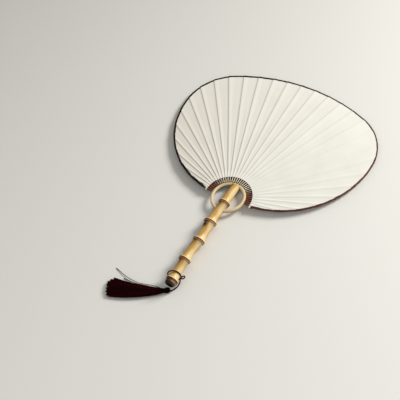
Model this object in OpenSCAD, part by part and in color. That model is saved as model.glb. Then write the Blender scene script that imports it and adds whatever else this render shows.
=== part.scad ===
/* [Blade] */
// Greatest width of the paper blade
blade_w = 340; // [320:5:360]
// Reach of the blade from the hoop's centre to its top
blade_reach = 250; // [240:2:262]
// Radius of the flat curve along the blade's top
top_r = 297; // [285:1:315]
// Radius of the blade's shoulders
shoulder_r = 86; // [78:1:94]
// Distance from the hoop's centre at which the flanks would meet its centre line
flank_foot = 39.1; // [38.5:0.1:41]
// Radius of the arc where the paper starts
paper_start_r = 38; // [36:0.5:40]
// Thickness of each paper leaf
leaf_t = 0.25; // [0.2:0.05:0.4]
// Least length of paper beside the two lower corners
corner_len = 4; // [3:0.5:6]
// How far the lower corners hang below the hoop's centre line
corner_drop = 3; // [2:0.5:4]
// Width of the edging tape on each face
edging_w = 2.4; // [1.6:0.2:3.4]
// Thickness of the edging tape
edging_t = 0.3; // [0.2:0.05:0.5]

/* [Ribs] */
// Number of ribs
ribs = 31; // [25:1:33]
// Angle of the first rib above the hoop's centre line
first_rib = 2.8; // [1.5:0.1:3]
// Angle from the first rib to the last
rib_spread = 177; // [175:0.2:177.4]
// Thickness of a rib at its foot
foot_t = 1.5; // [1.2:0.1:1.6]
// Thickness of a rib at the rim
tip_t = 1.0; // [0.7:0.1:1.2]
// Height of a rib at its foot
foot_h = 4.6; // [4:0.2:5]
// Height of a rib at the rim
tip_h = 2.6; // [2:0.2:3]
// Width of the paper's slope beside a rib at the rim
slope_w = 2.2; // [1.6:0.2:3]
// Height of the paper between two ribs where it starts
valley_z = 1; // [0.6:0.1:1.4]
// Diameter of the wire through the rib feet
wire_d = 0.8; // [0.6:0.1:1]
// Radius of the wire's arc
wire_r = 33; // [32:0.5:34.5]

/* [Hoop] */
// Radius of the hoop's centre line
hoop_r = 25.4; // [24:0.2:26]
// Thickness of the hoop
hoop_d = 5.4; // [4.6:0.2:5.8]

/* [Handle] */
// Diameter of the handle between its joints
handle_d = 14; // [13:0.5:15]
// Diameter of the raised joints
knuckle_d = 18.4; // [17:0.2:20]
// Width of a raised joint's crest
knuckle_w = 1.6; // [1.2:0.2:2.4]
// Distance from the hoop's centre down to the first joint
first_knuckle = 11.5; // [10:0.5:13]
// Distance from one joint to the next
knuckle_gap = 37.5; // [36:0.5:40]
// Length of handle past the hoop's centre line, under the ribs
top_len = 30.4; // [30:0.2:31.6]
// Length of handle below its last joint
tail_len = 8.5; // [7:0.5:11]
// Diameter of the cut end face
end_d = 13.6; // [12:0.2:15]
// Angle by which the last length of the handle turns aside
tail_bend = 3; // [0:0.5:5]

/* [Cord and tassel] */
// Thickness of the cord
cord_d = 1.7; // [1.4:0.1:1.8]
// Distance from the last joint up to the cord's loop
loop_up = 8.3; // [8:0.1:9]
// Inner diameter of the cord's loose loop round the handle
loop_d = 18.4; // [18.2:0.2:19]
// Length of the tassel's skirt
skirt_len = 82; // [76:2:90]
// Width of the skirt at its cut end
skirt_w = 34; // [28:1:38]
// Thickness of the skirt at its cut end
skirt_t = 5.6; // [4:0.2:7]
// Width of the tassel's head
head_w = 9.4; // [8.6:0.2:9.8]
// Thickness of the tassel's head
head_t = 6.2; // [5.4:0.2:6.4]

/* [Hidden] */

bamboo = "#d9b36a";
pale_bamboo = "#e6cfa0";
stained_bamboo = "#7c4a30";
paper = "#f2eee2";
tape = "#3a2420";
maroon = "#3c0f14";
brass_wire = "#8a6a3a";

// Clearances, each one used wherever the same two kinds of piece meet
paste_gap = 0.05;
seat_gap = 0.15;
hole_gap = 0.1;
cord_gap = 0.3;

rib_step = rib_spread / (ribs - 1);
knuckles = 5;
flare_len = 3.2;
rib_end_gap = 1.5;
foot_start = hoop_r + hoop_d / 2 + seat_gap;
wire_margin = 3.4;
function rib_name(i) = str("rib_", i < 10 ? "0" : "", i);
function rib_angle(i) = first_rib + rib_step * (i - 1);
function ray(a, r) = [r * cos(a), r * sin(a)];
function mix(a, b, t) = a + (b - a) * t;

// The outline is three arcs that run into each other: top, shoulder and flank
top_c = [0, blade_reach - top_r];
shoulder_x = blade_w / 2 - shoulder_r;
shoulder_c = [shoulder_x, top_c.y + sqrt(pow(top_r - shoulder_r, 2) - pow(shoulder_x, 2))];
flank_span = blade_w / 2 - flank_foot;
flank_r = (pow(flank_span, 2) + pow(shoulder_c.y, 2)) / (2 * flank_span);
flank_c = [blade_w / 2 - flank_r, shoulder_c.y];
top_join = top_c + (shoulder_c - top_c) * top_r / (top_r - shoulder_r);
top_join_a = atan2(top_join.y, top_join.x);
shoulder_join_a = atan2(shoulder_c.y, blade_w / 2);

// Distance from the hoop's centre to an arc, along a ray at angle a
function arc_reach(c, r, a) =
    let (along = c * ray(a, 1))
    along + sqrt(max(0, r * r - c * c + along * along));
function outline_reach(a) =
    let (b = a > 90 ? 180 - a : a)
    b > top_join_a ? arc_reach(top_c, top_r, b)
    : b > shoulder_join_a ? arc_reach(shoulder_c, shoulder_r, b)
    : arc_reach(flank_c, flank_r, b);
function rim_reach(a) = max(outline_reach(a), paper_start_r + corner_len);

// Everything under the paper tapers evenly from where the paper starts to the blade's top
function taper(r) = max(0, (r - paper_start_r) / (blade_reach - paper_start_r));
function rib_h(r) = mix(foot_h, tip_h, taper(r));
function rib_t(r) = mix(foot_t, tip_t, taper(r));
function crest_side(r) = rib_t(r) / 2 + paste_gap;
function crest_z(r) = rib_h(r) / 2 + paste_gap;
function slope_side(r) = mix(slope_start, tip_t / 2 + slope_w, taper(r));
function panel_z(r) = mix(valley_z, paste_gap, taper(r));
slope_start = 0.4 * rib_step * PI * paper_start_r / 180;

// A fold line of the paper is [inner point, outer point], each [x, y, height]
function fold_end(a, t, r, z) =
    let (p = ray(a + atan2(t, r), r))
    [p.x, p.y, z];
function crest_fold(a, side) =
    let (r = paper_start_r, q = rim_reach(a), s = side * crest_side(q))
    [fold_end(a, side * crest_side(r), r, crest_z(r)), fold_end(a, s, rim_reach(a + atan2(s, q)), crest_z(q))];
function slope_fold(a, side) =
    let (r = paper_start_r, q = rim_reach(a), s = side * slope_side(q))
    [fold_end(a, side * slope_side(r), r, panel_z(r)), fold_end(a, s, rim_reach(a + atan2(s, q)), panel_z(q))];
function rib_folds(a) = [slope_fold(a, -1), crest_fold(a, -1), crest_fold(a, 1), slope_fold(a, 1)];
// The half pleat that hangs below each end rib, down to the lower corner
function corner_fold(side) =
    let (x = sqrt(pow(paper_start_r, 2) - pow(corner_drop, 2)))
    [[side * x, -corner_drop, valley_z], [side * (x + corner_len), -corner_drop, valley_z]];
folds = concat(
    [corner_fold(1)],
    [for (i = [1 : ribs]) each rib_folds(rib_angle(i))],
    [corner_fold(-1)]
);

// The handle's crests, and the lean at which the fan lies on one of them and on its top
function knuckle_y(k) = -first_knuckle - knuckle_gap * (k - 1);
last_knuckle_y = knuckle_y(knuckles);
end_y = last_knuckle_y - tail_len;
loop_y = last_knuckle_y + loop_up;
tail_joint_y = knuckle_y(knuckles - 1);
end_centre = [(tail_joint_y - end_y) * sin(tail_bend), tail_joint_y - (tail_joint_y - end_y) * cos(tail_bend)];
edge_z = crest_z(blade_reach) + leaf_t + paste_gap + edging_t;
edge_y = blade_reach + paste_gap + edging_t;
rest_y = knuckle_y(1) + knuckle_w / 2;
lean = atan2(knuckle_d / 2 - edge_z, edge_y - rest_y);
lift = rest_y * sin(lean) + knuckle_d / 2 * cos(lean);
front_y = edge_y * cos(lean) + edge_z * sin(lean);
back_y = end_centre.y * cos(lean) - end_d / 2 * sin(lean);
shift_y = -(front_y + back_y) / 2;

// Stands what is drawn about the hoop's centre on the surface that the fan lies on
module lay() {
    translate([0, shift_y, lift]) rotate([-lean, 0, 0]) children();
}

// Cord and tassel: routes are chosen by hand, from the foot of the handle's end face
cord_up = [0.3, 0.2, 1];
loop_r = loop_d / 2 + cord_d / 2;
loop_at = [-0.9, loop_y, -0.5];
loop_tilt = 16;
loop_lean = 12;
knot_d = 3.6;
knot_angle = -35;
bow_heading = 45;
bow_route = [
    [1.7, -1, 0.1], [3.2, -1.7, 0.4], [5.2, -1.8, 0.8], [6.8, -0.9, 1.1],
    [6.8, 0.9, 1.1], [5.2, 1.8, 0.8], [3.2, 1.7, 0.4], [1.7, 1, 0.1]
];
hanger_route = [
    [7, 16.9, 6.8], [8.4, 14.4, 6.3], [8.9, 10.4, 4.9], [7.9, 6.4, 2.9],
    [6, 3, 1.5], [4.4, 0.4, 1.4], [3.9, -1.6, 2.3]
];
swivel_xy = [3.4, -3.2];
swivel_d = 3.4;
tassel_heading = 212;
floor_gap = 0.05;
head_axis_z = floor_gap + head_t / 2;
head_start = 2;
head_len = 8.4;
binding_len = 2.6;
binding_w = 0.8 * head_w;
binding_t = 0.86 * head_t;
skirt_start = head_start + head_len + binding_len + 2 * paste_gap;
skirt_neck_w = 0.87 * head_w;
skirt_bend = 20;
skirt_crown = 2.4;
skirt_bulge = 3.6;
skirt_skew = -4.2;
strand_d = 0.6;
strand_route_1 = [
    [20, -6.4, 3.6], [34, -11.5, 3.2], [48, -15.5, 2.8], [57, -20.5, 2.4],
    [66, -26.5, 1.8], [76, -35.5, 1.2], [86, -46, 0.6]
];
strand_route_2 = [[42, -12, 3], [51, -15, 2.4], [59, -19, 1.8], [66, -23, 1.2], [73, -27, 0.6]];

// Handle
function knuckle_up(k) = [
    for (s = [24, 16, 10, 6, 3])
        [handle_d / 2 + (knuckle_d - handle_d) / 2 * exp(-s / flare_len), knuckle_y(k) + knuckle_w / 2 + s]
];
function knuckle_down(k) = [
    for (s = [0.4, 1.2, 3, 6, 10])
        [handle_d / 2 + 0.5 * exp(-s / 4), knuckle_y(k) - knuckle_w / 2 - s]
];
function knuckle_points(k) = concat(
    knuckle_up(k),
    [[knuckle_d / 2, knuckle_y(k) + knuckle_w / 2], [knuckle_d / 2, knuckle_y(k) - knuckle_w / 2]],
    k == knuckles ? [[handle_d / 2 + 1.2, knuckle_y(k) - knuckle_w / 2 - 0.5]] : knuckle_down(k)
);
body_outline = concat(
    [[0, top_len], [handle_d / 2 - 1.8, top_len], [handle_d / 2 - 0.6, top_len - 0.6]],
    [[handle_d / 2, top_len - 2.2]],
    [for (k = [1 : knuckles - 2]) each knuckle_points(k)],
    knuckle_up(knuckles - 1),
    [[knuckle_d / 2, tail_joint_y + knuckle_w / 2], [knuckle_d / 2, tail_joint_y - knuckle_w / 2]],
    [[0, tail_joint_y - knuckle_w / 2]]
);
tail_outline = concat(
    [[0, tail_joint_y], [handle_d / 2 + 0.5, tail_joint_y]],
    knuckle_down(knuckles - 1),
    knuckle_points(knuckles),
    [[handle_d / 2 + 1, end_y + 1.6], [end_d / 2, end_y], [0, end_y]]
);
module tail() {
    translate([0, tail_joint_y, 0]) rotate([0, 0, tail_bend]) translate([0, -tail_joint_y, 0]) children();
}
module turned_round_y(outline) {
    rotate([-90, 0, 0]) rotate_extrude($fn = 64) polygon(outline);
}
module hoop_shape(gap) {
    rotate_extrude($fn = 96) translate([hoop_r, 0]) circle(d = hoop_d + 2 * gap, $fn = 32);
}
module handle() {
    // The slot starts below the feet of the ribs nearest the handle's sides
    slot_y = sqrt(pow(foot_start, 2) - pow(handle_d / 2, 2)) - seat_gap;
    slot_h = foot_h + 2 * seat_gap;
    color(bamboo) lay() difference() {
        union() {
            turned_round_y(body_outline);
            tail() turned_round_y(tail_outline);
        }
        hoop_shape(hole_gap);
        translate([-knuckle_d / 2, slot_y, -slot_h / 2])
            cube([knuckle_d, top_len - slot_y + 1, slot_h]);
    }
}
module hoop() {
    color(pale_bamboo) lay() hoop_shape(0);
}

// Ribs stand on edge, strung on a wire through their feet
module rib(i) {
    start = foot_start;
    end = rib_reach(rib_angle(i)) - rib_end_gap;
    color(stained_bamboo) lay() rotate([0, 0, rib_angle(i)]) difference() {
        intersection() {
            rotate([90, 0, 0]) linear_extrude(2 * foot_t, center = true)
                polygon(rib_side(start, end, foot_h, rib_h(end)));
            linear_extrude(2 * foot_h, center = true)
                polygon(rib_side(start, end, foot_t, rib_t(end)));
        }
        translate([wire_r, 0, 0]) rotate([90, 0, 0])
            cylinder(h = 2 * foot_t, d = wire_d + 2 * hole_gap, center = true, $fn = 24);
    }
}
// The rim runs slantwise across a rib's end, so the nearer of its two sides counts
function rib_reach(a) =
    let (b = atan2(foot_t, rim_reach(a)))
    min(rim_reach(a), rim_reach(a - b), rim_reach(a + b));
// A strip that is even as far as the paper's start and tapers from there
function rib_side(start, end, w_start, w_end) = [
    [start, -w_start / 2], [paper_start_r, -w_start / 2], [end, -w_end / 2],
    [end, w_end / 2], [paper_start_r, w_start / 2], [start, w_start / 2]
];
module binding_wire() {
    a_start = first_rib - wire_margin;
    a_sweep = rib_spread + 2 * wire_margin;
    color(brass_wire) lay() rotate([0, 0, a_start])
        rotate_extrude(angle = a_sweep, $fn = 180) translate([wire_r, 0]) circle(d = wire_d, $fn = 24);
}

// Joins closed loops of points into one solid, each loop turning the same way about the sweep
module skin(loops) {
    n = len(loops[0]);
    last = len(loops) - 1;
    // Both halves of a loop split their sides along matching diagonals, so that thin walls stay apart
    sides = [
        for (j = [0 : last - 1]) for (i = [0 : n - 1])
            let (k = (i + 1) % n, p = j * n, q = p + n)
            each i < n / 2
                ? [[p + i, q + i, q + k], [p + i, q + k, p + k]]
                : [[p + i, q + i, p + k], [q + i, q + k, p + k]]
    ];
    // Each cap is a ladder of triangles between the two halves of its loop
    ladder = [
        for (i = [0 : n / 2 - 1])
            each [if (i < n / 2 - 1) [i, i + 1, n - 1 - i], [i, max(i + 1, n - 1 - i), (n - i) % n]]
    ];
    start_cap = [for (f = ladder) if (f[0] != f[1] && f[1] != f[2] && f[0] != f[2]) f];
    end_cap = [for (f = start_cap) [last * n + f[2], last * n + f[1], last * n + f[0]]];
    points = [for (loop = loops) each loop];
    polyhedron(points = points, faces = concat(sides, start_cap, end_cap), convexity = 10);
}
function raise(p, h) = [p.x, p.y, p.z + h];
module leaf() {
    skin([for (f = folds) [raise(f[0], leaf_t), raise(f[1], leaf_t), f[1], f[0]]]);
}
module front_paper() {
    color(paper) lay() leaf();
}
module back_paper() {
    color(paper) lay() mirror([0, 0, 1]) leaf();
}

// The edging is one tape folded over the rim: a channel that follows both leaves
function unit(v) = v / norm(v);
function flat(p) = [p.x, p.y];
function rim_along(j) = unit(flat(folds[min(j + 1, len(folds) - 1)][1] - folds[max(j - 1, 0)][1]));
function tape_inset(j) =
    let (line = folds[j][1] - folds[j][0], out = unit(flat(line)), along = rim_along(j))
    min(edging_w / abs(out.x * along.y - out.y * along.x), 0.6 * norm(flat(line)));
function tape_loop(j) =
    let (
        p = folds[j][1],
        line = folds[j][1] - folds[j][0],
        out = unit(flat(line)),
        q = p - line * tape_inset(j) / norm(flat(line)),
        r = [p.x + out.x * paste_gap, p.y + out.y * paste_gap, p.z],
        s = [r.x + out.x * edging_t, r.y + out.y * edging_t, p.z],
        low = leaf_t + paste_gap,
        high = low + edging_t
    )
    [
        raise(q, high), raise(s, high), flip(raise(s, high)), flip(raise(q, high)),
        flip(raise(q, low)), flip(raise(r, low)), raise(r, low), raise(q, low)
    ];
function flip(p) = [p.x, p.y, -p.z];
module rim_edging() {
    color(tape) lay() skin([for (j = [0 : len(folds) - 1]) tape_loop(j)]);
}

// Cords
function spline(a, b, c, d, t) =
    (2 * b + (c - a) * t + (2 * a - 5 * b + 4 * c - d) * t * t + (3 * b - a - 3 * c + d) * t * t * t) / 2;
function smooth(p, n) =
    let (m = len(p) - 1)
    concat([
        for (i = [0 : m - 1]) for (s = [0 : n - 1])
            spline(p[max(0, i - 1)], p[i], p[i + 1], p[min(m, i + 2)], s / n)
    ], [p[m]]);
function ring(p, along, r) =
    let (u = unit(cross(along, cord_up)), v = cross(along, u))
    [for (a = [0 : 45 : 315]) p + r * (cos(a) * u + sin(a) * v)];
module tube(p, d) {
    m = len(p) - 1;
    skin([for (i = [0 : m]) ring(p[i], unit(p[min(m, i + 1)] - p[max(0, i - 1)]), d / 2)]);
}
// Places what hangs from the cord: the origin is on the surface under the handle's end face
module at_end() {
    translate([end_centre.x, back_y + shift_y, 0]) children();
}
module cord_loop() {
    color(maroon) lay() tail() loop_shape(0);
}
module loop_shape(gap) {
    translate(loop_at) rotate([0, 0, loop_tilt]) rotate([90 - loop_lean, 0, 0])
        rotate_extrude($fn = 64) translate([loop_r, 0]) circle(d = cord_d + 2 * gap, $fn = 24);
}
// Centre of the knot, on the loop
knot_side = loop_r * cos(knot_angle);
knot_fore = loop_r * sin(knot_angle) * sin(loop_lean);
knot_at = loop_at + [
    knot_side * cos(loop_tilt) - knot_fore * sin(loop_tilt),
    knot_side * sin(loop_tilt) + knot_fore * cos(loop_tilt),
    loop_r * sin(knot_angle) * cos(loop_lean)
];
module cord_knot() {
    color(maroon) lay() tail() difference() {
        translate(knot_at) sphere(d = knot_d, $fn = 40);
        loop_shape(paste_gap);
    }
}
module cord_bow() {
    out = [cos(bow_heading), sin(bow_heading), 0];
    across = [-out.y, out.x, 0];
    color(maroon) lay() tail()
        tube(smooth([for (p = bow_route) knot_at + out * p.x + across * p.y + [0, 0, p.z]], 2), cord_d);
}
module hanger_cord() {
    color(maroon) at_end() tube(smooth(hanger_route, 2), cord_d);
}
module swivel_knot() {
    color(maroon) at_end() translate([swivel_xy.x, swivel_xy.y, head_axis_z])
        sphere(d = swivel_d, $fn = 40);
}

// The tassel lies on the surface, bending round from where it hangs
module along_tassel() {
    at_end() translate([swivel_xy.x, swivel_xy.y, 0]) rotate([0, 0, tassel_heading]) children();
}
function oval(w, h) = [for (b = [0 : 22.5 : 337.5]) [w / 2 * cos(b), h / 2 * sin(b)]];
function oval_ring(x, w, h) = [for (p = oval(w, h)) [x, p.x, head_axis_z + p.y]];
module tassel_head() {
    // Each pair is a share of the head's length and of its width and thickness
    color(maroon) along_tassel() skin([
        for (p = [[0, 0.34], [0.1, 0.7], [0.24, 0.93], [0.38, 1], [0.6, 1], [0.84, 0.86], [1, 0.78]])
            oval_ring(head_start + head_len * p[0], head_w * p[1], head_t * p[1])
    ]);
}
module tassel_binding() {
    x = head_start + head_len + paste_gap;
    color(maroon) along_tassel() skin([
        for (p = [[0, 0.92], [0.2, 1], [0.8, 1], [1, 0.92]])
            oval_ring(x + binding_len * p[0], binding_w * p[1], binding_t * p[1])
    ]);
}
function skirt_point(t) =
    let (r = skirt_len * 180 / (PI * skirt_bend))
    [skirt_start + r * sin(skirt_bend * t), -r * (1 - cos(skirt_bend * t))];
function skirt_loop(t) =
    let (
        w = mix(skirt_neck_w, skirt_w, pow(t, 0.8)),
        h = mix(binding_t, skirt_t, t) + skirt_crown * sin(180 * t),
        z = max(floor_gap + h / 2, mix(head_axis_z, floor_gap, 4 * t)),
        c = skirt_point(t),
        a = -skirt_bend * t
    )
    [
        for (p = oval(w, h))
            let (b = 2 * p.x / w, e = t * (skirt_bulge * (1 - b * b) + skirt_skew * b))
            [c.x - p.x * sin(a) + e * cos(a), c.y + p.x * cos(a) + e * sin(a), z + p.y]
    ];
module tassel_skirt() {
    color(maroon) along_tassel() skin([for (j = [0 : 14]) skirt_loop(j / 14)]);
}
module stray_strand(route) {
    color(maroon) along_tassel() tube(smooth(route, 3), strand_d);
}

handle();
hoop();
for (i = [1 : ribs]) rib(i);
binding_wire();
front_paper();
back_paper();
rim_edging();
cord_loop();
cord_knot();
cord_bow();
hanger_cord();
swivel_knot();
tassel_head();
tassel_binding();
tassel_skirt();
stray_strand(strand_route_1);  // stray_strand_1
stray_strand(strand_route_2);  // stray_strand_2
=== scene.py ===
import bpy
import math
import random
from mathutils import Matrix, Vector


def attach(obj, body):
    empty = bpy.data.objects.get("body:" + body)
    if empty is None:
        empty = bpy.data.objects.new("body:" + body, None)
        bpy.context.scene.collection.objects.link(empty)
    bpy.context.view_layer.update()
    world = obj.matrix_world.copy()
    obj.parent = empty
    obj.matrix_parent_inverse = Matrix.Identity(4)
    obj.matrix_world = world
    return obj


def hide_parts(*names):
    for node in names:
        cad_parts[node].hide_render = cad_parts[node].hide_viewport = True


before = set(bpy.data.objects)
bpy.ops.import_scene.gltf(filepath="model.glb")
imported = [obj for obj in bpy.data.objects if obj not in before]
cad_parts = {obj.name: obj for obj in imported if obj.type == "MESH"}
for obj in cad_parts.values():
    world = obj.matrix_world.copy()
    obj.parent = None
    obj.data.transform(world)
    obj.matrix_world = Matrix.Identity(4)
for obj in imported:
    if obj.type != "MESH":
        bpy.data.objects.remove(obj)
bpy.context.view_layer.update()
random.seed(7)

# Millimetres, as in the part's source, until a mesh is made
MM = 0.001

# Blade
BLADE_W = 340
BLADE_REACH = 250
TOP_R = 297
SHOULDER_R = 86
FLANK_FOOT = 39.1
PAPER_START_R = 38
LEAF_T = 0.25
CORNER_LEN = 4
CORNER_DROP = 3
EDGING_W = 1.9
EDGING_T = 0.3
PASTE_GAP = 0.05
RIBS = 31
FIRST_RIB = 2.8
RIB_SPREAD = 177
FOOT_T = 1.5
TIP_T = 1.0
FOOT_H = 4.6
TIP_H = 2.6
SLOPE_W = 2.2
# Of the ribs' spacing, where the paper starts
SLOPE_START_SHARE = 0.4
VALLEY_Z = 1
RIB_STEP = RIB_SPREAD / (RIBS - 1)

# Hoop and handle
HOOP_R = 25.4
HANDLE_D = 14
KNUCKLE_D = 18.4
KNUCKLE_W = 1.6
FIRST_KNUCKLE = 11.5
KNUCKLE_GAP = 37.5
KNUCKLES = 5
TOP_LEN = 30.4
TAIL_LEN = 8.5
END_D = 13.6
FLARE_LEN = 3.2
TAIL_BEND = math.radians(3)
SLOT_Y = 27.2
SLOT_H = 4.9

# Cord and tassel
CORD_D = 1.7
LOOP_R = 10.05
LOOP_AT = (-0.9, -153.2, -0.5)
LOOP_TILT = math.radians(16)
LOOP_LEAN = math.radians(12)
KNOT_ANGLE = math.radians(-35)
KNOT_D = 3.6
BOW_HEADING = math.radians(45)
BOW_ROUTE = [
    (1.7, -1, 0.1), (3.2, -1.7, 0.4), (5.2, -1.8, 0.8), (6.8, -0.9, 1.1),
    (6.8, 0.9, 1.1), (5.2, 1.8, 0.8), (3.2, 1.7, 0.4), (1.7, 1, 0.1),
]
HANGER_ROUTE = [
    (7, 16.9, 6.8), (8.4, 14.4, 6.3), (8.9, 10.4, 4.9), (7.9, 6.4, 2.9),
    (6, 3, 1.5), (4.4, 0.4, 1.4), (3.9, -1.6, 2.3),
]
SWIVEL_XY = (3.4, -3.2)
SWIVEL_D = 3.4
TASSEL_HEADING = math.radians(212)
TASSEL_NUDGE = (-0.6, 1.2)
FLOOR_GAP = 0.05
HEAD_T = 6.2
HEAD_W = 9.4
HEAD_START = 2
HEAD_LEN = 8.4
HEAD_AXIS_Z = FLOOR_GAP + HEAD_T / 2
BINDING_LEN = 2.6
SKIRT_START = 13.1
SKIRT_LEN = 82
SKIRT_W = 34
SKIRT_T = 5.6
SKIRT_BEND = math.radians(20)
SKIRT_CROWN = 2.4
SKIRT_BULGE = 3.6
SKIRT_SKEW = -4.2
STRAY_R = 0.5
STRAY_PITCH = 3
# Each stray thread starts among the others
STRAND_ROUTE_1 = [
    (13.5, -2.2, 3.4), (20, -6.4, 3.6), (34, -11.5, 3.2), (48, -15.5, 2.8),
    (57, -20.5, 2.4), (66, -26.5, 1.8), (76, -35.5, 1.2), (86, -46, 0.6),
]
STRAND_ROUTE_2 = [
    (33, -9, 3.2), (42, -12, 3), (51, -15, 2.4), (59, -19, 1.8), (66, -23, 1.2), (73, -27, 0.6),
]


def mix(a, b, t):
    return a + (b - a) * t


def smoothstep(t):
    t = min(1, max(0, t))
    return t * t * (3 - 2 * t)


# The blade's outline: three arcs that run into each other, as in the part's source
TOP_C = (0, BLADE_REACH - TOP_R)
SHOULDER_X = BLADE_W / 2 - SHOULDER_R
SHOULDER_C = (SHOULDER_X, TOP_C[1] + math.sqrt((TOP_R - SHOULDER_R) ** 2 - SHOULDER_X ** 2))
FLANK_SPAN = BLADE_W / 2 - FLANK_FOOT
FLANK_R = (FLANK_SPAN ** 2 + SHOULDER_C[1] ** 2) / (2 * FLANK_SPAN)
FLANK_C = (BLADE_W / 2 - FLANK_R, SHOULDER_C[1])
JOIN_SHARE = TOP_R / (TOP_R - SHOULDER_R)
TOP_JOIN_X, TOP_JOIN_Y = (top + (shoulder - top) * JOIN_SHARE for top, shoulder in zip(TOP_C, SHOULDER_C))
TOP_JOIN_A = math.atan2(TOP_JOIN_Y, TOP_JOIN_X)
SHOULDER_JOIN_A = math.atan2(SHOULDER_C[1], BLADE_W / 2)


def arc_reach(c, r, a):
    along = c[0] * math.cos(a) + c[1] * math.sin(a)
    return along + math.sqrt(max(0, r * r - c[0] ** 2 - c[1] ** 2 + along * along))


def rim_reach(a):
    b = math.pi - a if a > math.pi / 2 else a
    if b > TOP_JOIN_A:
        reach = arc_reach(TOP_C, TOP_R, b)
    elif b > SHOULDER_JOIN_A:
        reach = arc_reach(SHOULDER_C, SHOULDER_R, b)
    else:
        reach = arc_reach(FLANK_C, FLANK_R, b)
    return max(reach, PAPER_START_R + CORNER_LEN)


def taper(r):
    return max(0, (r - PAPER_START_R) / (BLADE_REACH - PAPER_START_R))


def crest_side(r):
    return mix(FOOT_T, TIP_T, taper(r)) / 2 + PASTE_GAP


def crest_z(r):
    return mix(FOOT_H, TIP_H, taper(r)) / 2 + PASTE_GAP


def slope_side(r):
    start = SLOPE_START_SHARE * math.radians(RIB_STEP) * PAPER_START_R
    return mix(start, TIP_T / 2 + SLOPE_W, taper(r))


def panel_z(r):
    return mix(VALLEY_Z, PASTE_GAP, taper(r))


# The fan lies on its first joint's crest and on the blade's top edge, leaning a little
TAIL_JOINT_Y = -FIRST_KNUCKLE - KNUCKLE_GAP * (KNUCKLES - 2)
LAST_KNUCKLE_Y = -FIRST_KNUCKLE - KNUCKLE_GAP * (KNUCKLES - 1)
END_Y = LAST_KNUCKLE_Y - TAIL_LEN
EDGE_GAP = PASTE_GAP + EDGING_T
EDGE_Z = crest_z(BLADE_REACH) + LEAF_T + EDGE_GAP
EDGE_Y = BLADE_REACH + EDGE_GAP
REST_Y = -FIRST_KNUCKLE + KNUCKLE_W / 2
LEAN = math.atan2(KNUCKLE_D / 2 - EDGE_Z, EDGE_Y - REST_Y)
LIFT = REST_Y * math.sin(LEAN) + KNUCKLE_D / 2 * math.cos(LEAN)
TAIL_RUN = TAIL_JOINT_Y - END_Y
END_CENTRE = (TAIL_RUN * math.sin(TAIL_BEND), TAIL_JOINT_Y - TAIL_RUN * math.cos(TAIL_BEND))
FRONT_Y = EDGE_Y * math.cos(LEAN) + EDGE_Z * math.sin(LEAN)
BACK_Y = END_CENTRE[1] * math.cos(LEAN) - END_D / 2 * math.sin(LEAN)
SHIFT_Y = -(FRONT_Y + BACK_Y) / 2


def lay(p):
    """A point about the hoop's centre, in millimetres, to its place on the floor, in metres."""
    y = p[1] * math.cos(LEAN) + p[2] * math.sin(LEAN) + SHIFT_Y
    z = -p[1] * math.sin(LEAN) + p[2] * math.cos(LEAN) + LIFT
    return Vector((p[0] * MM, y * MM, z * MM))


def tail(p):
    """Turns a point of the handle's last length aside about its last joint but one."""
    y = p[1] - TAIL_JOINT_Y
    c, s = math.cos(TAIL_BEND), math.sin(TAIL_BEND)
    return (p[0] * c - y * s, p[0] * s + y * c + TAIL_JOINT_Y, p[2])


def at_end(p):
    """A point measured from the floor under the handle's end face."""
    return Vector(((p[0] + END_CENTRE[0]) * MM, (p[1] + BACK_Y + SHIFT_Y) * MM, p[2] * MM))


def along_tassel(p):
    c, s = math.cos(TASSEL_HEADING), math.sin(TASSEL_HEADING)
    x = SWIVEL_XY[0] + TASSEL_NUDGE[0] + p[0] * c - p[1] * s
    y = SWIVEL_XY[1] + TASSEL_NUDGE[1] + p[0] * s + p[1] * c
    return at_end((x, y, p[2]))


# Meshes
def new_object(name, shape, body, replaced, material, sharp=50):
    """A piece from its points and faces, which rides on its body and stands for CAD nodes."""
    points, faces = shape
    mesh = bpy.data.meshes.new(name)
    mesh.from_pydata([tuple(p) for p in points], [], faces)
    mesh.update()
    mesh.shade_smooth()
    mesh.set_sharp_from_angle(angle=math.radians(sharp))
    mesh.materials.append(material)
    obj = bpy.data.objects.new(name, mesh)
    bpy.context.scene.collection.objects.link(obj)
    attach(obj, body)
    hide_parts(*replaced)
    return obj


def add_values(obj, name, values):
    """Keeps one number for each vertex, which the material reads."""
    layer = obj.data.attributes.new(name, "FLOAT", "POINT")
    layer.data.foreach_set("value", values)


def grid_faces(rows, columns, start=0, closed=False, flip=False):
    faces = []
    for j in range(rows - 1):
        for i in range(columns if closed else columns - 1):
            k = (i + 1) % columns
            a = start + j * columns
            b = a + columns
            face = (a + i, a + k, b + k, b + i)
            faces.append(face[::-1] if flip else face)
    return faces


def spline(points, steps):
    """A smooth curve through the points, as the part's source draws it."""
    last = len(points) - 1
    smooth = []
    for i in range(last):
        a, b = points[max(0, i - 1)], points[i]
        c, d = points[i + 1], points[min(last, i + 2)]
        for s in range(steps):
            t = s / steps
            smooth.append(Vector(
                (2 * q + (r - p) * t + (2 * p - 5 * q + 4 * r - u) * t ** 2
                 + (3 * q - p - 3 * r + u) * t ** 3) / 2
                for p, q, r, u in zip(a, b, c, d)
            ))
    return smooth + [Vector(points[last])]


def frames(path):
    """Two directions across each point of a path, carried along it without twisting."""
    across = None
    found = []
    for i in range(len(path)):
        along = (path[min(i + 1, len(path) - 1)] - path[max(i - 1, 0)]).normalized()
        if across is None:
            across = along.orthogonal().normalized()
        across = (across - along * across.dot(along)).normalized()
        found.append((across, along.cross(across)))
    return found


def ring_faces(rows, columns):
    """The side of a closed tube and a cap on each end of it."""
    last = (rows - 1) * columns
    caps = [tuple(range(columns))[::-1], tuple(range(last, last + columns))]
    return grid_faces(rows, columns, closed=True) + caps


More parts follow.
